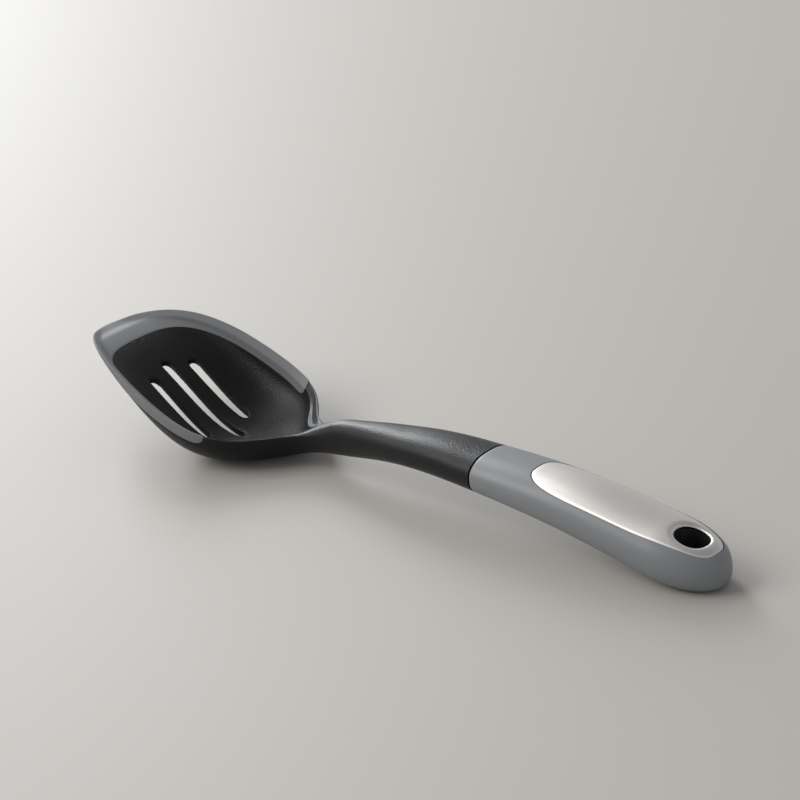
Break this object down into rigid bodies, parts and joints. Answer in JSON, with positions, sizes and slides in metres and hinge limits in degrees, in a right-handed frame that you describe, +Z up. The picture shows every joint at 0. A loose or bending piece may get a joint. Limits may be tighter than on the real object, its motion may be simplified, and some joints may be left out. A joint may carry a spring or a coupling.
{
  "type": "slotted cooking spoon",
  "caption": "Slotted cooking spoon with a deep nylon bowl, a silicone edge round the rim, an arched neck, a soft grip with a steel plate set into it, and a hang hole.",
  "frame": {"origin": "middle of the spoon's footprint, on the surface that it lies on", "axes": "+X from the tip of the bowl towards the end of the grip, +Z up out of the bowl, XZ is the plane of symmetry"},
  "size_m": [0.33, 0.068, 0.0402],
  "materials": {
    "black_nylon": "satin moulded nylon with a fine grain",
    "grey_silicone": "matte silicone",
    "black_core": "plain moulded plastic",
    "grey_grip": "matte soft-touch rubber",
    "brushed_steel": "lengthwise satin brushing with a polished rim",
    "pad_foam": "closed-cell foam"
  },
  "bodies": {
    "root": {"spoon_body": "black_nylon", "silicone_edge": "grey_silicone", "handle_core": "black_core", "grip_sleeve": "grey_grip", "steel_inlay": "brushed_steel", "inlay_pad": "pad_foam"}
  },
  "joints": []
}
